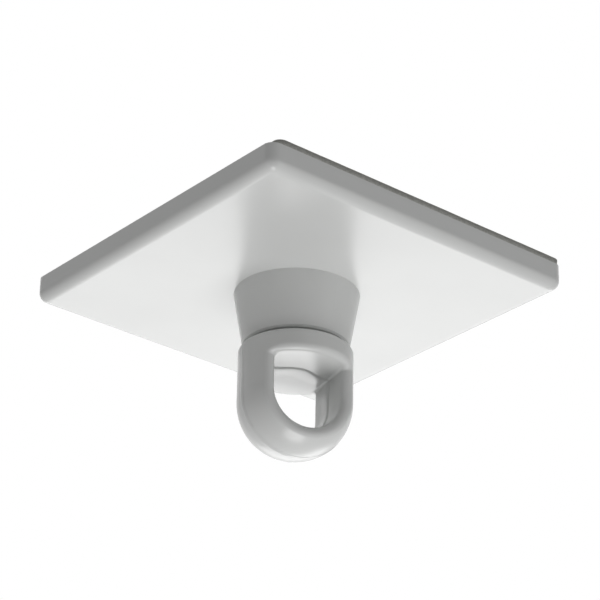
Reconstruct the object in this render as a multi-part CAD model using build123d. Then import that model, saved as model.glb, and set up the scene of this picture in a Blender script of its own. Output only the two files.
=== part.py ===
"""Adhesive hanging button: a square self-adhesive ceiling plate with a swivelling hanging eye.

Three pieces: the moulded base (plate and conical boss), the moulded eye that snaps into the boss and
turns in it, and the foam pad that sticks the plate to a ceiling.

Frame: the origin is where the swivel axis meets the pad's adhesive face, +Z points up into the ceiling,
X and Y run along the plate's sides, and the eye hangs towards -Z.
"""
import os

from build123d import *

# Driving dimensions, in millimetres and degrees

# Foam pad on the back of the plate
PAD_THICKNESS = 0.65
PAD_INSET = 0.5  # from the plate's edges, before the shift
PAD_SHIFT = 0.4  # towards +X and towards +Y, for the pad is stuck on off centre
PAD_CORNER_RADIUS = 0.8

# Square plate
PLATE_SIDE = 35.0
PLATE_THICKNESS = 2.45
PLATE_EDGE_RADIUS = 1.0  # rounds the four corners and the visible rim of the underside

# Conical boss under the plate
BOSS_ROOT_DIAMETER = 11.8
BOSS_END_DIAMETER = 9.9
BOSS_HEIGHT = 5.4
BOSS_END_CHAMFER = 0.15
BOSS_END_WALL = 1.8  # wall that carries the eye's snap head

# Stem and split snap head of the eye
STEM_DIAMETER = 4.8
STEM_CLEARANCE = 0.08  # radial, between the stem and its bore
BORE_LEAD_IN = 0.3  # chamfer at the mouth of the bore
HEAD_DIAMETER = 6.2
HEAD_LAND = 0.5  # height of the head's straight rim
HEAD_TAPER_HEIGHT = 1.5
HEAD_TIP_DIAMETER = 4.2
HEAD_SIDE_CLEARANCE = 0.6  # radial, between the head and its pocket
HEAD_SEAT_CLEARANCE = 0.1  # under the head's shoulder
SLOT_WIDTH = 1.6  # gap between the two prongs
SLOT_FLOOR_ABOVE_EYE = 0.4

# Bullet-shaped eye
EYE_DIAMETER = 10.65
EYE_STRAIGHT_HEIGHT = 5.25
EYE_SHOULDER_FILLET = 0.4
EYE_GAP = 0.3  # between the boss's end and the eye's top
EYE_TURN = -15.0  # about Z, how far the window's way through is turned from +X

# Window through the eye, measured at the mid-plane where the two mould cores met
WINDOW_WIDTH = 6.6
LINTEL_HEIGHT = 2.2
WINDOW_CORNER_RADIUS = 0.2
WINDOW_DRAFT = 1.0
WINDOW_EDGE_FILLET = 0.6  # rounds both mouths

# Heights worked out from the sizes above
PLATE_BACK_Z = -PAD_THICKNESS
PLATE_FACE_Z = PLATE_BACK_Z - PLATE_THICKNESS
BOSS_END_Z = PLATE_FACE_Z - BOSS_HEIGHT
POCKET_FLOOR_Z = BOSS_END_Z + BOSS_END_WALL
EYE_TOP_Z = BOSS_END_Z - EYE_GAP
DOME_CENTRE_Z = EYE_TOP_Z - EYE_STRAIGHT_HEIGHT
HEAD_SHOULDER_Z = POCKET_FLOOR_Z + HEAD_SEAT_CLEARANCE
HEAD_TAPER_Z = HEAD_SHOULDER_Z + HEAD_LAND
HEAD_TOP_Z = HEAD_TAPER_Z + HEAD_TAPER_HEIGHT
WINDOW_CEILING_Z = EYE_TOP_Z - LINTEL_HEIGHT

BORE_RADIUS = STEM_DIAMETER / 2 + STEM_CLEARANCE
POCKET_RADIUS = HEAD_DIAMETER / 2 + HEAD_SIDE_CLEARANCE
EYE_RADIUS = EYE_DIAMETER / 2
WINDOW_HALF_WIDTH = WINDOW_WIDTH / 2


def upright_cylinder(radius, low_z, high_z):
    """Cylinder on the Z axis between two heights."""
    return Pos(0, 0, low_z) * extrude(Circle(radius), high_z - low_z)


def make_adhesive_pad():
    """Flat foam square, a little smaller than the plate and stuck on off centre."""
    side = PLATE_SIDE - 2 * PAD_INSET
    outline = RectangleRounded(side, side, PAD_CORNER_RADIUS)
    return Pos(PAD_SHIFT, PAD_SHIFT, PLATE_BACK_Z) * extrude(outline, PAD_THICKNESS)


def make_plate():
    """Square plate with its corners and underside rim rounded and a sharp back edge against the pad."""
    plate = Pos(0, 0, PLATE_FACE_Z) * extrude(Rectangle(PLATE_SIDE, PLATE_SIDE), PLATE_THICKNESS)
    corners = plate.edges().filter_by(Axis.Z)
    rim = plate.edges().group_by(Axis.Z)[0]
    return fillet(corners + rim, PLATE_EDGE_RADIUS)


def make_boss():
    """Boss that narrows towards its end, with the end's edge broken."""
    cone = Cone(
        BOSS_END_DIAMETER / 2,
        BOSS_ROOT_DIAMETER / 2,
        BOSS_HEIGHT,
        align=(Align.CENTER, Align.CENTER, Align.MIN),
    )
    boss = Pos(0, 0, BOSS_END_Z) * cone
    return chamfer(boss.edges().group_by(Axis.Z)[0], BOSS_END_CHAMFER)


def make_ceiling_base():
    """Plate and boss in one, bored for the stem, with the head's pocket open to the plate's back."""
    base = make_plate() + make_boss()
    base -= upright_cylinder(BORE_RADIUS, BOSS_END_Z, POCKET_FLOOR_Z)
    base -= upright_cylinder(POCKET_RADIUS, POCKET_FLOOR_Z, PLATE_BACK_Z)
    mouth = base.edges().filter_by(GeomType.CIRCLE).group_by(Axis.Z)[0].sort_by(SortBy.RADIUS)[0]
    return chamfer(mouth, BORE_LEAD_IN)


def make_eye_body():
    """Half section of dome, straight side, shoulder, stem and snap head, turned about the Z axis."""
    stem_radius = STEM_DIAMETER / 2
    head_radius = HEAD_DIAMETER / 2
    dome_bottom = (0, DOME_CENTRE_Z - EYE_RADIUS)
    dome_side = (EYE_RADIUS, DOME_CENTRE_Z)
    shoulder_low = (EYE_RADIUS, EYE_TOP_Z - EYE_SHOULDER_FILLET)
    shoulder_high = (EYE_RADIUS - EYE_SHOULDER_FILLET, EYE_TOP_Z)
    outline = [
        RadiusArc(dome_bottom, dome_side, -EYE_RADIUS),
        Line(dome_side, shoulder_low),
        RadiusArc(shoulder_low, shoulder_high, -EYE_SHOULDER_FILLET),
        Polyline(
            shoulder_high,
            (stem_radius, EYE_TOP_Z),
            (stem_radius, HEAD_SHOULDER_Z),
            (head_radius, HEAD_SHOULDER_Z),
            (head_radius, HEAD_TAPER_Z),
            (HEAD_TIP_DIAMETER / 2, HEAD_TOP_Z),
            (0, HEAD_TOP_Z),
            dome_bottom,
        ),
    ]
    return revolve(Plane.YZ * make_face(outline), Axis.Z)


def make_window():
    """Two cores that meet at the mid-plane and widen outwards, each a flat-topped D in section."""
    half = WINDOW_HALF_WIDTH
    section = make_face(
        [
            Polyline(
                (-half, DOME_CENTRE_Z),
                (-half, WINDOW_CEILING_Z),
                (half, WINDOW_CEILING_Z),
                (half, DOME_CENTRE_Z),
            ),
            ThreePointArc((half, DOME_CENTRE_Z), (0, DOME_CENTRE_Z - half), (-half, DOME_CENTRE_Z)),
        ]
    )
    section = fillet(section.vertices().group_by(Axis.Y)[-1], WINDOW_CORNER_RADIUS)
    front = extrude(Plane.YZ * section, EYE_RADIUS, taper=-WINDOW_DRAFT)
    return front + mirror(front, Plane.YZ)


def make_slot():
    """Slot across the snap head and stem that lets the two prongs close up."""
    floor_z = EYE_TOP_Z + SLOT_FLOOR_ABOVE_EYE
    outline = Rectangle(HEAD_DIAMETER, SLOT_WIDTH)
    return Pos(0, 0, floor_z) * extrude(outline, HEAD_TOP_Z - floor_z)


def make_swivel_eye():
    """Eye with its window cut through, mouth edges rounded and head slotted, turned to its place."""
    body = make_eye_body()
    window = make_window()
    eye = body - window
    eye = fillet(new_edges(body, window, combined=eye), WINDOW_EDGE_FILLET)
    return Rot(0, 0, EYE_TURN) * (eye - make_slot())


def main():
    os.makedirs("parts", exist_ok=True)
    pieces = {
        "ceiling_base": make_ceiling_base(),
        "swivel_eye": make_swivel_eye(),
        "adhesive_pad": make_adhesive_pad(),
    }
    for name, piece in pieces.items():
        export_step(piece, f"parts/{name}.step")


main()
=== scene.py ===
"""Adhesive hanging button: finishes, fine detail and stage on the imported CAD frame.

Laid out as a Blender add-on. Lengths in the settings are metres, as in the frame: the origin is where the
swivel axis meets the pad's adhesive face, +Z points up into the ceiling and the eye hangs towards -Z.
"""
import math
from typing import NamedTuple

import bpy
import numpy as np
from mathutils import Matrix, Vector


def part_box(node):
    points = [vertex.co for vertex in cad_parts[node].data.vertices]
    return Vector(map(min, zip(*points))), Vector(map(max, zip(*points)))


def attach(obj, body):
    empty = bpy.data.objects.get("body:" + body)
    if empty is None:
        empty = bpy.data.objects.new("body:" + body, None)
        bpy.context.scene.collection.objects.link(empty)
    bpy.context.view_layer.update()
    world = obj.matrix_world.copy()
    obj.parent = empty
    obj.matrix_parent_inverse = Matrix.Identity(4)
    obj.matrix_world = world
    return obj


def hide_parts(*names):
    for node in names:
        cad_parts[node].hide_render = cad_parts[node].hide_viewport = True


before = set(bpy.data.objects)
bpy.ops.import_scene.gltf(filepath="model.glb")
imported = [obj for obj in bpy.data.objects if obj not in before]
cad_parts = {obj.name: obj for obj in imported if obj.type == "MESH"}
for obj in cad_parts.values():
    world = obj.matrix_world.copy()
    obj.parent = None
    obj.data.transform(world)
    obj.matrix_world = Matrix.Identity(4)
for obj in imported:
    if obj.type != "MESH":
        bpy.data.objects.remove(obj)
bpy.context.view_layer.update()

bl_info = {
    "name": "Adhesive Hanging Button",
    "version": (1, 0, 0),
    "blender": (4, 5, 0),
    "location": "View3D > Sidebar > Hanging Button",
    "description": "Finishes and stages a self-adhesive ceiling plate with a swivelling hanging eye",
    "category": "Object",
}

MM = 0.001
IMAGE_PIXELS = 600
NEAR_CLIP = 1 / 10  # of the camera's distance
WHITE = (1, 1, 1, 1)

PAD_LOW, PAD_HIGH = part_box("adhesive_pad")
EYE_LOW, EYE_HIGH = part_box("swivel_eye")
EYE_RADIUS = (EYE_HIGH[0] - EYE_LOW[0]) / 2
DOME_CENTRE_Z = EYE_LOW[2] + EYE_RADIUS

# Foam textures, in widths of a cell
CELL_DEPTH = 1 / 4
FILM_BLOT = 3
FILM_RELIEF = 1 / 10

# Rows of the foam pad's grid
FACE_INSETS = (0.97, 0.8, 0.6, 0.4, 0.2, 0.06, 0.02)  # on both flat faces, as shares of the half side
EDGE_STEPS = 5
WALL_STEPS = 8
LEAST_CORNER = 0.02  # share of the corner radius that the innermost rows keep

# How the cut edge strays, as shares of the cut's wander
STRAY_MIDDLE = 0.5
STRAY_WAVES = ((13, 0.25, 0.0), (41, 0.15, 1.1), (97, 0.1, 2.3))  # waves round the outline, share, phase
STRAY_AT_FACES = 0.4

# Parts of a bead's height that are sunk, to bury its rims
RIDGE_SINK = 0.05
BEAD_SINK = 0.01

# Where the outer parting line fades
END_FADE_WIDTHS = 4  # ridge widths at either end
LEAST_END = 0.01  # part of its size that the line keeps there
BOTTOM_FADE_ANGLE = 0.12  # radians to either side of the dome's bottom


def linear(hex_colour):
    """sRGB hex digits as a linear RGBA tuple, by the sRGB transfer curve."""
    code = np.array([int(hex_colour[i:i + 2], 16) for i in (0, 2, 4)]) / 255
    value = np.where(code <= 0.04045, code / 12.92, ((code + 0.055) / 1.055) ** 2.4)
    return (*value.tolist(), 1.0)


def per_length(size):
    """Texture scale that makes one cell of a pattern this long, in metres."""
    return 1 / size


def add_node(tree, kind, inputs=None, **settings):
    """Add a node, set its attributes, then set or link its inputs by name or place."""
    node = tree.nodes.new(kind)
    for name, value in settings.items():
        setattr(node, name, value)
    for key, value in (inputs or {}).items():
        if isinstance(value, bpy.types.NodeSocket):
            tree.links.new(value, node.inputs[key])
        else:
            node.inputs[key].default_value = value
    return node


class Softbox(NamedTuple):
    """Soft area light: turn from the camera and height angle in degrees, sizes in metres, brightness."""

    name: str
    turn: float
    elevation: float
    distance: float
    width: float
    height: float
    brightness: float


SOFTBOXES = (
    Softbox("rear_card", turn=180, elevation=-24, distance=0.5, width=0.5, height=0.25, brightness=2.0),
    Softbox("key_softbox", turn=30, elevation=-84, distance=0.35, width=0.2, height=0.2, brightness=4.25),
    Softbox("side_softbox", turn=70, elevation=-15, distance=0.4, width=0.3, height=0.3, brightness=0.7),
    Softbox("top_softbox", turn=0, elevation=88, distance=0.16, width=0.12, height=0.12, brightness=3.6),
)


class PlasticSettings(bpy.types.PropertyGroup):
    """Finish of the two mouldings."""

    colour: bpy.props.StringProperty(
        name="Colour", description="White of the moulding, sRGB hex", default="DCDDDC"
    )
    flow_colour: bpy.props.StringProperty(
        name="Flow colour",
        description="White of the faint clouds left by the melt's flow, sRGB hex",
        default="D7D8D7",
    )
    roughness: bpy.props.FloatProperty(
        name="Roughness", description="Roughness of the glossy skin", default=0.26, subtype="FACTOR"
    )
    roughness_spread: bpy.props.FloatProperty(
        name="Roughness spread",
        description="How far the roughness strays",
        default=0.02,
        subtype="FACTOR",
    )
    ior: bpy.props.FloatProperty(name="IOR", description="Index of refraction of ABS", default=1.53)
    peel_size: bpy.props.FloatProperty(
        name="Skin grain",
        description="Size of the skin's fine unevenness",
        default=0.6 * MM,
        unit="LENGTH",
    )
    peel_depth: bpy.props.FloatProperty(
        name="Skin depth",
        description="Depth of the skin's fine unevenness",
        default=0.0012 * MM,
        unit="LENGTH",
    )
    sink_size: bpy.props.FloatProperty(
        name="Sink size",
        description="Size of the shallow waves left by shrinkage",
        default=7 * MM,
        unit="LENGTH",
    )
    sink_depth: bpy.props.FloatProperty(
        name="Sink depth", description="Depth of the shrinkage waves", default=0.03 * MM, unit="LENGTH"
    )


class PadSettings(bpy.types.PropertyGroup):
    """Shape and finish of the foam pad."""

    corner: bpy.props.FloatProperty(
        name="Corner", description="Corner radius of the die-cut outline", default=0.8 * MM, unit="LENGTH"
    )
    edge_round: bpy.props.FloatProperty(
        name="Edge round",
        description="Radius of the pad's softened edges",
        default=0.08 * MM,
        unit="LENGTH",
    )
    cut_wander: bpy.props.FloatProperty(
        name="Cut wander",
        description="How far the cut edge strays inwards",
        default=0.05 * MM,
        unit="LENGTH",
    )
    cell_size: bpy.props.FloatProperty(
        name="Cell size", description="Width of the foam's cut cells", default=0.22 * MM, unit="LENGTH"
    )
    colour: bpy.props.StringProperty(
        name="Colour", description="Grey of the foam, sRGB hex", default="D8D8D3"
    )
    cell_colour: bpy.props.StringProperty(
        name="Cell colour", description="Grey inside the cut cells, sRGB hex", default="B6B6B1"
    )
    # Painted shade: the grey the foam's cut edge darkens to towards the adhesive face; also the darker tone
    # of the film's random mottle
    shade_and_mottle_colour: bpy.props.StringProperty(
        name="Shade and mottle colour",
        description="Grey where the adhesive has soaked in, sRGB hex",
        default="8F8F8A",
    )
    film_colour: bpy.props.StringProperty(
        name="Film colour", description="Grey of the adhesive film, sRGB hex", default="AEAEA9"
    )
    roughness: bpy.props.FloatProperty(
        name="Roughness", description="Roughness of the matt foam", default=0.9, subtype="FACTOR"
    )
    ior: bpy.props.FloatProperty(name="IOR", description="Index of refraction of the foam", default=1.45)
    film_roughness: bpy.props.FloatProperty(
        name="Film roughness", description="Roughness of the tacky film", default=0.35, subtype="FACTOR"
    )
    film_ior: bpy.props.FloatProperty(
        name="Film IOR", description="Index of refraction of acrylic adhesive", default=1.47
    )


class WitnessSettings(bpy.types.PropertyGroup):
    """Lines that the mould halves and the two window cores left on the eye."""

    turn: bpy.props.FloatProperty(
        name="Turn",
        description="Turn of the window's way through from +X",
        default=math.radians(-15),
        subtype="ANGLE",
    )
    parting_top: bpy.props.FloatProperty(
        name="Parting top",
        description="Height where the outer parting line starts",
        default=-9.2 * MM,
        unit="LENGTH",
    )
    ridge_width: bpy.props.FloatProperty(
        name="Ridge width", description="Width of the outer parting line", default=0.7 * MM, unit="LENGTH"
    )
    ridge_height: bpy.props.FloatProperty(
        name="Ridge height",
        description="Height of the outer parting line",
        default=0.035 * MM,
        unit="LENGTH",
    )
    bead_width: bpy.props.FloatProperty(
        name="Bead width",
        description="Width of the bead's steep side, doubled",
        default=0.7 * MM,
        unit="LENGTH",
    )
    bead_height: bpy.props.FloatProperty(
        name="Bead height",
        description="Height of the bead where the cores met",
        default=0.085 * MM,
        unit="LENGTH",
    )
    bead_tail: bpy.props.FloatProperty(
        name="Bead tail",
        description="How many times wider the bead runs out on the rear core's side",
        default=5.0,
    )
    window_width: bpy.props.FloatProperty(
        name="Window width",
        description="Window's width at its waist, as in the CAD",
        default=6.6 * MM,
        unit="LENGTH",
    )
    window_ceiling: bpy.props.FloatProperty(
        name="Window ceiling",
        description="Window's ceiling height at its waist",
        default=-11.0 * MM,
        unit="LENGTH",
    )
    window_corner: bpy.props.FloatProperty(
        name="Window corner", description="Window's upper corner radius", default=0.2 * MM, unit="LENGTH"
    )
    window_draft: bpy.props.FloatProperty(
        name="Window draft", description="Draft of both cores", default=math.radians(1.0), subtype="ANGLE"
    )
    nose_half_width: bpy.props.FloatProperty(
        name="Core nose",
        description="Half width of the rear core's rounded end",
        default=3.0 * MM,
        unit="LENGTH",
    )
    nose_reach: bpy.props.FloatProperty(
        name="Core reach",
        description="How far that end passes the mid-plane",
        default=1.0 * MM,
        unit="LENGTH",
    )


class StageSettings(bpy.types.PropertyGroup):
    """Camera, lights and floor."""

    azimuth: bpy.props.FloatProperty(
        name="Azimuth",
        description="Camera's turn about Z from -Y",
        default=math.radians(50.44),
        subtype="ANGLE",
    )
    elevation: bpy.props.FloatProperty(
        name="Elevation",
        description="Camera's height angle",
        default=math.radians(-26.605),
        subtype="ANGLE",
    )
    roll: bpy.props.FloatProperty(
        name="Roll", description="Camera's roll", default=math.radians(1.037), subtype="ANGLE"
    )
    distance: bpy.props.FloatProperty(
        name="Distance",
        description="Camera's distance from its target",
        default=226.8 * MM,
        unit="LENGTH",
    )
    target_height: bpy.props.FloatProperty(
        name="Target height",
        description="Height of the camera's target on the axis",
        default=-3.446 * MM,
        unit="LENGTH",
    )
    target_side: bpy.props.FloatProperty(
        name="Target side",
        description="Target's shift to the camera's right",
        default=0.298 * MM,
        unit="LENGTH",
    )
    focal_pixels: bpy.props.FloatProperty(
        name="Focal length",
        description="Focal length in pixels of the square image",
        default=2436.0,
        subtype="PIXEL",
    )
    floor_drop: bpy.props.FloatProperty(
        name="Floor drop",
        description="Floor's depth below the adhesive face",
        default=400 * MM,
        unit="LENGTH",
    )
    floor_size: bpy.props.FloatProperty(
        name="Floor size", description="Side of the square floor", default=8.0, unit="LENGTH"
    )
    floor_colour: bpy.props.StringProperty(
        name="Floor colour", description="Floor's pale grey, sRGB hex", default="F4F4F3"
    )
    floor_top_up: bpy.props.FloatProperty(
        name="Floor top-up", description="Brightness added to the floor where it is seen", default=0.85
    )
    ambient: bpy.props.FloatProperty(
        name="Ambient", description="Brightness of the room's even light", default=0.215
    )
    light_level: bpy.props.FloatProperty(
        name="Light level", description="Common factor on the softboxes' brightness", default=1.0
    )


class ButtonSettings(bpy.types.PropertyGroup):
    """All settings of the hanging button."""

    plastic: bpy.props.PointerProperty(type=PlasticSettings)
    pad: bpy.props.PointerProperty(type=PadSettings)
    witness: bpy.props.PointerProperty(type=WitnessSettings)
    stage: bpy.props.PointerProperty(type=StageSettings)


def new_material(name):
    """Empty node material, its node tree and its Principled shader."""
    material = bpy.data.materials.new(name)
    material.use_nodes = True
    tree = material.node_tree
    tree.nodes.clear()
    shader = add_node(tree, "ShaderNodeBsdfPrincipled")
    add_node(tree, "ShaderNodeOutputMaterial", {"Surface": shader.outputs["BSDF"]})
    return material, tree, shader


def moulded_abs(plastic):
    """White ABS as it leaves a polished mould.

    The skin is glossy enough to mirror what stands close to it. Faint flow clouds, a slight orange peel and
    shallow shrinkage waves keep the reflections from being perfect.
    """
    material, tree, shader = new_material("moulded_white_abs")
    place = add_node(tree, "ShaderNodeTexCoord").outputs["Object"]
    clouds = add_node(
        tree,
        "ShaderNodeTexNoise",
        {"Vector": place, "Scale": per_length(plastic.sink_size), "Detail": 1.0},
    )
    colour = add_node(
        tree,
        "ShaderNodeMix",
        {0: clouds.outputs["Fac"], 6: linear(plastic.flow_colour), 7: linear(plastic.colour)},
        data_type="RGBA",
    )
    peel = add_node(
        tree,
        "ShaderNodeTexNoise",
        {"Vector": place, "Scale": per_length(plastic.peel_size), "Detail": 2.0},
    )
    gloss = add_node(
        tree,
        "ShaderNodeMapRange",
        {
            "Value": peel.outputs["Fac"],
            "To Min": plastic.roughness - plastic.roughness_spread,
            "To Max": plastic.roughness + plastic.roughness_spread,
        },
    )
    waves = add_node(
        tree,
        "ShaderNodeBump",
        {"Height": clouds.outputs["Fac"], "Distance": plastic.sink_depth},
    )
    skin = add_node(
        tree,
        "ShaderNodeBump",
        {"Height": peel.outputs["Fac"], "Distance": plastic.peel_depth, "Normal": waves.outputs["Normal"]},
    )
    tree.links.new(colour.outputs[2], shader.inputs["Base Color"])
    tree.links.new(gloss.outputs["Result"], shader.inputs["Roughness"])
    tree.links.new(skin.outputs["Normal"], shader.inputs["Normal"])
    shader.inputs["IOR"].default_value = plastic.ior
    return material


def closed_cell_foam(pad):
    """Grey polyethylene foam cut with a die.

    It is matt, with the walls of opened cells standing lighter. Painted shade darkens it with height
    towards the adhesive face, standing in for the shade that falls on the cut edge there.
    """
    material, tree, shader = new_material("closed_cell_pe_foam")
    place = add_node(tree, "ShaderNodeTexCoord").outputs["Object"]
    cells = add_node(
        tree,
        "ShaderNodeTexVoronoi",
        {"Vector": place, "Scale": per_length(pad.cell_size)},
    )
    colour = add_node(
        tree,
        "ShaderNodeMix",
        {0: cells.outputs["Distance"], 6: linear(pad.cell_colour), 7: linear(pad.colour)},
        data_type="RGBA",
    )
    bump = add_node(
        tree,
        "ShaderNodeBump",
        {"Height": cells.outputs["Distance"], "Distance": CELL_DEPTH * pad.cell_size},
    )
    # Painted shade: the foam darkens with height towards the adhesive face, standing in for shade on the
    # cut edge
    height = add_node(tree, "ShaderNodeSeparateXYZ", {0: place}).outputs["Z"]
    shade_share = add_node(
        tree,
        "ShaderNodeMapRange",
        {"Value": height, "From Min": PAD_LOW[2], "From Max": PAD_HIGH[2]},
    )
    painted_shade = add_node(
        tree,
        "ShaderNodeMix",
        {0: shade_share.outputs["Result"], 6: colour.outputs[2], 7: linear(pad.shade_and_mottle_colour)},
        data_type="RGBA",
    )
    tree.links.new(painted_shade.outputs[2], shader.inputs["Base Color"])
    tree.links.new(bump.outputs["Normal"], shader.inputs["Normal"])
    shader.inputs["Roughness"].default_value = pad.roughness
    shader.inputs["IOR"].default_value = pad.ior
    return material


def adhesive_film(pad):
    """Clear acrylic adhesive on the foam: the foam's grey under a slightly wet, uneven gloss."""
    material, tree, shader = new_material("acrylic_adhesive_film")
    place = add_node(tree, "ShaderNodeTexCoord").outputs["Object"]
    mottle = add_node(
        tree,
        "ShaderNodeTexNoise",
        {"Vector": place, "Scale": per_length(FILM_BLOT * pad.cell_size), "Detail": 4.0},
    )
    colour = add_node(
        tree,
        "ShaderNodeMix",
        {0: mottle.outputs["Fac"], 6: linear(pad.shade_and_mottle_colour), 7: linear(pad.film_colour)},
        data_type="RGBA",
    )
    bump = add_node(
        tree,
        "ShaderNodeBump",
        {"Height": mottle.outputs["Fac"], "Distance": FILM_RELIEF * pad.cell_size},
    )
    tree.links.new(colour.outputs[2], shader.inputs["Base Color"])
    tree.links.new(bump.outputs["Normal"], shader.inputs["Normal"])
    shader.inputs["Roughness"].default_value = pad.film_roughness
    shader.inputs["IOR"].default_value = pad.film_ior
    return material


def surface_mesh(name, points, closed_path=False):
    """Closed mesh from a grid of points whose columns wrap round.

    Rows follow each other, and the last joins the first on a closed path. Otherwise each end row is closed
    by a fan to its middle. The faces are turned so that the volume they enclose, a sixth of the sum of
    their corners' triple products, is positive.
    """
    rows, columns = points.shape[:2]
    index = np.arange(rows * columns).reshape(rows, columns)
    following = np.roll(index, -1, axis=1)
    if closed_path:
        low, high = slice(None), np.roll(np.arange(rows), -1)
    else:
        low, high = slice(0, -1), slice(1, None)
    quads = np.stack([index[low], following[low], following[high], index[high]], axis=-1).reshape(-1, 4)
    vertices = points.reshape(-1, 3)
    fans = np.empty((0, 3), int)
    if not closed_path:
        vertices = np.vstack([vertices, points[0].mean(axis=0), points[-1].mean(axis=0)])
        first, last = rows * columns, rows * columns + 1
        start_fan = np.stack([following[0], index[0], np.full(columns, first)], axis=-1)
        end_fan = np.stack([index[-1], following[-1], np.full(columns, last)], axis=-1)
        fans = np.vstack([start_fan, end_fan])
    triangles = np.vstack([quads[:, :3], quads[:, [0, 2, 3]], fans])
    corners = vertices[triangles]
    volume = np.einsum("ij,ij->", corners[:, 0], np.cross(corners[:, 1], corners[:, 2]))
    if volume < 0:
        quads, fans = quads[:, ::-1], fans[:, ::-1]
    mesh = bpy.data.meshes.new(name)
    mesh.from_pydata(vertices.tolist(), [], quads.tolist() + fans.tolist())
    mesh.shade_smooth()
    return mesh


def place_piece(name, mesh, body, slot, *materials):
    """Link a mesh as a piece that rides on a body and takes the given materials. The slot is not used."""
    piece = bpy.data.objects.new(name, mesh)
    bpy.context.scene.collection.objects.link(piece)
    for material in materials:
        mesh.materials.append(material)
    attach(piece, body)
    return piece


def rounded_square(half, radius, count):
    """Outlines of squares with rounded corners: x and y, a row for each half side and count columns.

    A quarter of the way round is a straight run and then a 90 degree arc. It is turned by 0, 90, 180 and
    270 degrees for the four quarters.
    """
    along = 4 * np.arange(count) / count
    quarter = np.floor(along)
    straight = 2 * (half - radius)
    way = (along - quarter) * (straight + radius * np.pi / 2)
    angle = np.clip((way - straight) / radius, 0, np.pi / 2)
    x = half - radius + radius * np.cos(angle)
    y = radius - half + np.minimum(way, straight) + radius * np.sin(angle)
    turn = quarter * np.pi / 2
    return x * np.cos(turn) - y * np.sin(turn), x * np.sin(turn) + y * np.cos(turn)


def foam_pad_points(pad, columns=1200):
    """Grid of the die-cut pad from the middle of its plate side round the cut edge to its adhesive face.

    Each row is a rounded square at one height. Its half side is the pad's, less the inset of a rounded
    edge, less a sum of sines round the outline by which the cut strays inwards, most at half height.
    """
    half = (PAD_HIGH[0] - PAD_LOW[0]) / 2
    middle_x, middle_y = (PAD_LOW[0] + PAD_HIGH[0]) / 2, (PAD_LOW[1] + PAD_HIGH[1]) / 2
    low_z, high_z = PAD_LOW[2], PAD_HIGH[2]
    cap = half * np.array(FACE_INSETS)
    quarter = np.linspace(0, np.pi / 2, EDGE_STEPS)
    round_inset = pad.edge_round * (1 - np.sin(quarter))
    round_rise = pad.edge_round * (1 - np.cos(quarter))
    wall_z = np.linspace(low_z + pad.edge_round, high_z - pad.edge_round, WALL_STEPS)[1:-1]
    inset = np.concatenate([cap, round_inset, np.zeros(wall_z.size), round_inset[::-1], cap[::-1]])
    z = np.concatenate(
        [
            np.full(cap.size, low_z),
            low_z + round_rise,
            wall_z,
            high_z - round_rise[::-1],
            np.full(cap.size, high_z),
        ]
    )
    height = (z - low_z) / (high_z - low_z)
    way = 2 * np.pi * np.arange(columns) / columns
    stray = STRAY_MIDDLE + sum(share * np.sin(waves * way + phase) for waves, share, phase in STRAY_WAVES)
    at_height = STRAY_AT_FACES + (1 - STRAY_AT_FACES) * np.sin(np.pi * height)
    inwards = pad.cut_wander * at_height[:, None] * stray
    row_half = half - inset[:, None] - inwards
    radius = np.maximum(pad.corner - inset, LEAST_CORNER * pad.corner)[:, None]
    x, y = rounded_square(row_half, radius, columns)
    points = np.stack([middle_x + x, middle_y + y, np.broadcast_to(z[:, None], x.shape)], axis=-1)
    return points, cap.size


def swept_bead(path, outward, half_width, height, sink, closed_path, tail=1.0, section=24):
    """Grid of a soft bead carried along a path, standing along outward and lying across the path.

    The across direction is the cross product of the path's direction and outward. At a distance x across,
    the bead of half width w and height h stands h (1 + cos(pi x / w)) / 2 high. Its half on the far side of
    the crest is tail times as wide. Its buried half mirrors the raised one, and all of it is sunk by a part
    of its height to bury its rims.
    """
    if closed_path:
        along = np.roll(path, -1, axis=0) - np.roll(path, 1, axis=0)
    else:
        along = np.gradient(path, axis=0)
    across = np.cross(along, outward)
    across /= np.linalg.norm(across, axis=1, keepdims=True)
    angle = 2 * np.pi * np.arange(section) / section
    place = np.cos(angle)
    profile = np.sign(np.sin(angle)) * (1 + np.cos(np.pi * place)) / 2 - sink
    reach = np.where(place < 0, tail, 1) * place
    rise = (height * outward.T).T[:, None, :] * profile[None, :, None]
    spread = (half_width * across.T).T[:, None, :] * reach[None, :, None]
    return path[:, None, :] + rise + spread


def in_window_frame(turn, across, along, z):
    """Points from the window's own directions: across its width, along its way through, and up."""
    way = np.array([math.cos(turn), math.sin(turn)])
    side = np.array([-math.sin(turn), math.cos(turn)])
    flat = np.multiply.outer(across, side) + np.multiply.outer(along, way)
    return np.column_stack([flat, z])


def parting_line_points(witness, steps=240):
    """Bead down one side of the eye, under the dome and up the other side, in the plane across the window.

    The path is a straight line, a half circle and a straight line, followed by its own length. The bead
    fades out at both ends and at the bottom of the dome, where it was trimmed flush.
    """
    straight = witness.parting_top - DOME_CENTRE_Z
    arc = np.pi * EYE_RADIUS
    way = np.linspace(0, 2 * straight + arc, steps)
    angle = np.clip((way - straight) / EYE_RADIUS, 0, np.pi)
    above = np.maximum(straight - way, 0) + np.maximum(way - straight - arc, 0)
    across = -EYE_RADIUS * np.cos(angle)
    z = DOME_CENTRE_Z + above - EYE_RADIUS * np.sin(angle)
    level = np.zeros(steps)
    path = in_window_frame(witness.turn, across, level, z)
    outward = in_window_frame(witness.turn, -np.cos(angle), level, -np.sin(angle))
    to_end = np.minimum(way, way[-1] - way)
    end_fade = np.clip(to_end / (END_FADE_WIDTHS * witness.ridge_width), LEAST_END, 1)
    bottom_fade = 1 - np.exp(-((angle - np.pi / 2) / BOTTOM_FADE_ANGLE) ** 2)
    fade = end_fade * bottom_fade
    half_width = witness.ridge_width / 2 * end_fade
    return swept_bead(path, outward, half_width, witness.ridge_height * fade, RIDGE_SINK, False)


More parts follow.
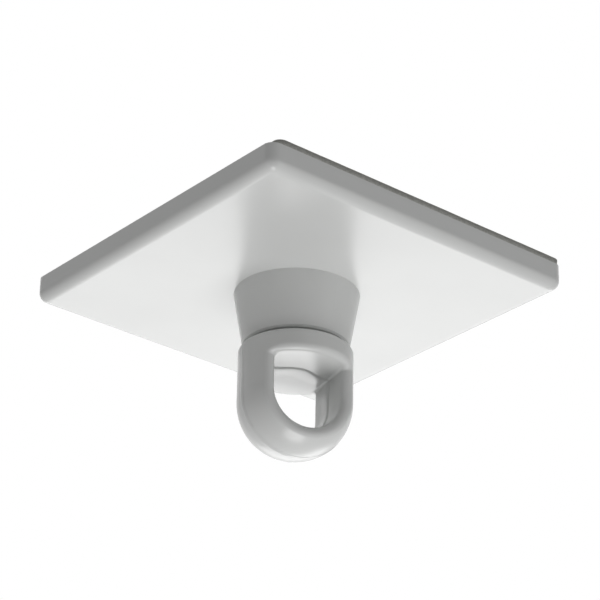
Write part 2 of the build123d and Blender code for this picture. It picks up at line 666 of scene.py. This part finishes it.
def core_line_points(witness, steps=60, corner_steps=12):
    """Bead round the window where its two cores met, on the rear core's rounded end.

    The path follows the window's section: round floor, wall, corner, ceiling, corner and wall. On the
    ceiling its place along the window is a raised cosine of the distance across, r (1 + cos(pi a / w)) / 2
    for a reach r, a distance a and a half width w. The section grows outwards by the draft, and the bead
    lies on it.
    """
    half = witness.window_width / 2
    corner = witness.window_corner
    top = witness.window_ceiling
    floor_angle = np.linspace(-np.pi, 0, 2 * steps, endpoint=False)
    wall_z = np.linspace(DOME_CENTRE_Z, top - corner, steps, endpoint=False)
    corner_angle = np.linspace(0, np.pi / 2, corner_steps, endpoint=False)
    ceiling_x = np.linspace(half - corner, corner - half, 2 * steps, endpoint=False)
    across = np.concatenate(
        [
            half * np.cos(floor_angle),
            np.full(steps, half),
            half - corner + corner * np.cos(corner_angle),
            ceiling_x,
            corner - half - corner * np.sin(corner_angle),
            np.full(steps, -half),
        ]
    )
    z = np.concatenate(
        [
            DOME_CENTRE_Z + half * np.sin(floor_angle),
            wall_z,
            top - corner + corner * np.sin(corner_angle),
            np.full(2 * steps, top),
            top - corner + corner * np.cos(corner_angle),
            wall_z[::-1],
        ]
    )
    turn = np.concatenate(
        [
            floor_angle,
            np.zeros(steps),
            corner_angle,
            np.full(2 * steps, np.pi / 2),
            np.pi / 2 + corner_angle,
            np.full(steps, np.pi),
        ]
    )
    swing = np.pi * np.clip(across / witness.nose_half_width, -1, 1)
    along = np.where(z > DOME_CENTRE_Z, witness.nose_reach * (1 + np.cos(swing)) / 2, 0)
    growth = np.abs(along) * math.tan(witness.window_draft)
    path = in_window_frame(witness.turn, across + growth * np.cos(turn), along, z + growth * np.sin(turn))
    inward = in_window_frame(witness.turn, -np.cos(turn), np.zeros(turn.size), -np.sin(turn))
    half_width = witness.bead_width / 2
    points = swept_bead(path, inward, half_width, witness.bead_height, BEAD_SINK, True, witness.bead_tail)
    way = np.array([math.cos(witness.turn), math.sin(witness.turn), 0])
    growth_there = np.abs(points @ way) * math.tan(witness.window_draft)
    return points - inward[:, None, :] * (growth_there - growth[:, None])[:, :, None]


class BUTTON_OT_finish_mouldings(bpy.types.Operator):
    """Give the ceiling base and the swivel eye their moulded white finish"""

    bl_idname = "button.finish_mouldings"
    bl_label = "Finish Mouldings"

    def execute(self, context):
        material = moulded_abs(context.scene.hanging_button.plastic)
        for node in ("ceiling_base", "swivel_eye"):
            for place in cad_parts[node].material_slots:
                place.material = material
        return {"FINISHED"}


class BUTTON_OT_make_foam_pad(bpy.types.Operator):
    """Make the die-cut foam pad with its adhesive face"""

    bl_idname = "button.make_foam_pad"
    bl_label = "Make Foam Pad"

    def execute(self, context):
        pad = context.scene.hanging_button.pad
        points, cap_rows = foam_pad_points(pad)
        mesh = surface_mesh("foam_pad", points)
        rows, columns = points.shape[:2]
        # The adhesive face is the last rows of quads and the second of the two end fans
        film_start = (rows - 1 - cap_rows) * columns
        quads = (rows - 1) * columns
        is_film = np.zeros(len(mesh.polygons), int)
        is_film[film_start:quads] = 1
        is_film[quads + columns:] = 1
        piece = place_piece("foam_pad", mesh, "base", "pad_foam", closed_cell_foam(pad), adhesive_film(pad))
        mesh.polygons.foreach_set("material_index", is_film)
        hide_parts("adhesive_pad")
        return {"FINISHED"}


class BUTTON_OT_make_witness_lines(bpy.types.Operator):
    """Make the fine beads that the mould left on the eye"""

    bl_idname = "button.make_witness_lines"
    bl_label = "Make Witness Lines"

    def execute(self, context):
        witness = context.scene.hanging_button.witness
        material = bpy.data.materials["moulded_white_abs"]
        parting = surface_mesh("parting_line", parting_line_points(witness))
        place_piece("parting_line", parting, "eye", "white_plastic", material)
        cores = surface_mesh("core_line", core_line_points(witness), closed_path=True)
        place_piece("core_line", cores, "eye", "white_plastic", material)
        return {"FINISHED"}


def direction(turn, elevation):
    """Unit vector at a turn about Z from -Y and a height angle."""
    level = math.cos(elevation)
    return Vector((math.sin(turn) * level, -math.cos(turn) * level, math.sin(elevation)))


def camera_axes(stage):
    """Right, up and backward directions of the camera from its azimuth, elevation and roll."""
    back = direction(stage.azimuth, stage.elevation)
    right = Vector((math.cos(stage.azimuth), math.sin(stage.azimuth), 0))
    up = back.cross(right)
    cosine, sine = math.cos(stage.roll), math.sin(stage.roll)
    return cosine * right + sine * up, cosine * up - sine * right, back


def add_camera(stage):
    """Camera at the photograph's place, aimed at a point beside the swivel axis."""
    right, up, back = camera_axes(stage)
    data = bpy.data.cameras.new("photo_camera")
    data.lens = data.sensor_width * stage.focal_pixels / IMAGE_PIXELS
    data.clip_start = NEAR_CLIP * stage.distance
    target = Vector((0, 0, stage.target_height)) + right * stage.target_side
    matrix = Matrix((right, up, back)).transposed().to_4x4()
    matrix.translation = target + back * stage.distance
    camera = bpy.data.objects.new("photo_camera", data)
    camera.matrix_world = matrix
    bpy.context.scene.collection.objects.link(camera)
    bpy.context.scene.camera = camera


def add_softbox(box, stage):
    """Soft area light aimed at the origin, placed by its turn from the camera and its height angle."""
    way = direction(stage.azimuth + math.radians(box.turn), math.radians(box.elevation))
    data = bpy.data.lights.new(box.name, "AREA")
    data.shape = "RECTANGLE"
    data.size = box.width
    data.size_y = box.height
    data.energy = stage.light_level * box.brightness * math.pi * box.width * box.height
    light = bpy.data.objects.new(box.name, data)
    light.location = way * box.distance
    light.rotation_mode = "QUATERNION"
    light.rotation_quaternion = way.to_track_quat("Z", "Y")
    bpy.context.scene.collection.objects.link(light)


def seen_ray(tree):
    """1 for rays that show a background: from the camera, off a gloss or through glass."""
    path = add_node(tree, "ShaderNodeLightPath")
    gloss = add_node(
        tree,
        "ShaderNodeMath",
        {0: path.outputs["Is Glossy Ray"], 1: path.outputs["Is Transmission Ray"]},
        operation="MAXIMUM",
    )
    seen = add_node(
        tree,
        "ShaderNodeMath",
        {0: path.outputs["Is Camera Ray"], 1: gloss.outputs[0]},
        operation="MAXIMUM",
    )
    return seen.outputs[0]


def add_world(stage):
    """Even grey light, seen as plain white."""
    world = bpy.data.worlds.new("white_room")
    world.use_nodes = True
    tree = world.node_tree
    tree.nodes.clear()
    room = add_node(tree, "ShaderNodeBackground", {"Color": WHITE, "Strength": stage.ambient})
    white = add_node(tree, "ShaderNodeBackground", {"Color": WHITE, "Strength": 1.0})
    either = add_node(
        tree,
        "ShaderNodeMixShader",
        {0: seen_ray(tree), 1: room.outputs[0], 2: white.outputs[0]},
    )
    add_node(tree, "ShaderNodeOutputWorld", {"Surface": either.outputs[0]})
    bpy.context.scene.world = world


def add_floor(stage):
    """Pale floor far below, which keeps the button's shadow and is topped up to white where it is seen."""
    half = stage.floor_size / 2
    z = -stage.floor_drop
    mesh = bpy.data.meshes.new("studio_floor")
    corners = [(-half, -half, z), (half, -half, z), (half, half, z), (-half, half, z)]
    mesh.from_pydata(corners, [], [(0, 1, 2, 3)])
    floor = bpy.data.objects.new("studio_floor", mesh)
    bpy.context.scene.collection.objects.link(floor)
    material = bpy.data.materials.new("matt_white_paper")
    material.use_nodes = True
    tree = material.node_tree
    tree.nodes.clear()
    paper = add_node(tree, "ShaderNodeBsdfDiffuse", {"Color": linear(stage.floor_colour)})
    top_up = add_node(
        tree,
        "ShaderNodeMath",
        {0: seen_ray(tree), 1: stage.floor_top_up},
        operation="MULTIPLY",
    )
    glow = add_node(tree, "ShaderNodeEmission", {"Strength": top_up.outputs[0]})
    both = add_node(tree, "ShaderNodeAddShader", {0: paper.outputs[0], 1: glow.outputs[0]})
    add_node(tree, "ShaderNodeOutputMaterial", {"Surface": both.outputs[0]})
    mesh.materials.append(material)


class BUTTON_OT_set_stage(bpy.types.Operator):
    """Set the camera, the soft lights, the white room and the floor"""

    bl_idname = "button.set_stage"
    bl_label = "Set Stage"

    def execute(self, context):
        stage = context.scene.hanging_button.stage
        add_camera(stage)
        add_world(stage)
        add_floor(stage)
        for box in SOFTBOXES:
            add_softbox(box, stage)
        context.scene.view_settings.view_transform = "Standard"
        return {"FINISHED"}


class BUTTON_PT_sidebar(bpy.types.Panel):
    """Settings and operators of the hanging button"""

    bl_idname = "BUTTON_PT_sidebar"
    bl_label = "Hanging Button"
    bl_space_type = "VIEW_3D"
    bl_region_type = "UI"
    bl_category = "Hanging Button"

    def draw(self, context):
        settings = context.scene.hanging_button
        for operator, group in STEPS:
            box = self.layout.box()
            box.operator(operator.bl_idname)
            values = getattr(settings, group)
            for name in values.__annotations__:
                box.prop(values, name)


STEPS = (
    (BUTTON_OT_finish_mouldings, "plastic"),
    (BUTTON_OT_make_foam_pad, "pad"),
    (BUTTON_OT_make_witness_lines, "witness"),
    (BUTTON_OT_set_stage, "stage"),
)
GROUPS = (PlasticSettings, PadSettings, WitnessSettings, StageSettings, ButtonSettings)
CLASSES = (*GROUPS, *(operator for operator, group in STEPS), BUTTON_PT_sidebar)


def register():
    """Register the classes and hang the settings on the scene."""
    for cls in CLASSES:
        bpy.utils.register_class(cls)
    bpy.types.Scene.hanging_button = bpy.props.PointerProperty(type=ButtonSettings)


def unregister():
    """Take the settings and the classes away again."""
    del bpy.types.Scene.hanging_button
    for cls in reversed(CLASSES):
        bpy.utils.unregister_class(cls)


def main():
    register()
    bpy.ops.button.finish_mouldings()
    bpy.ops.button.make_foam_pad()
    bpy.ops.button.make_witness_lines()
    bpy.ops.button.set_stage()


if __name__ == "__main__":
    main()
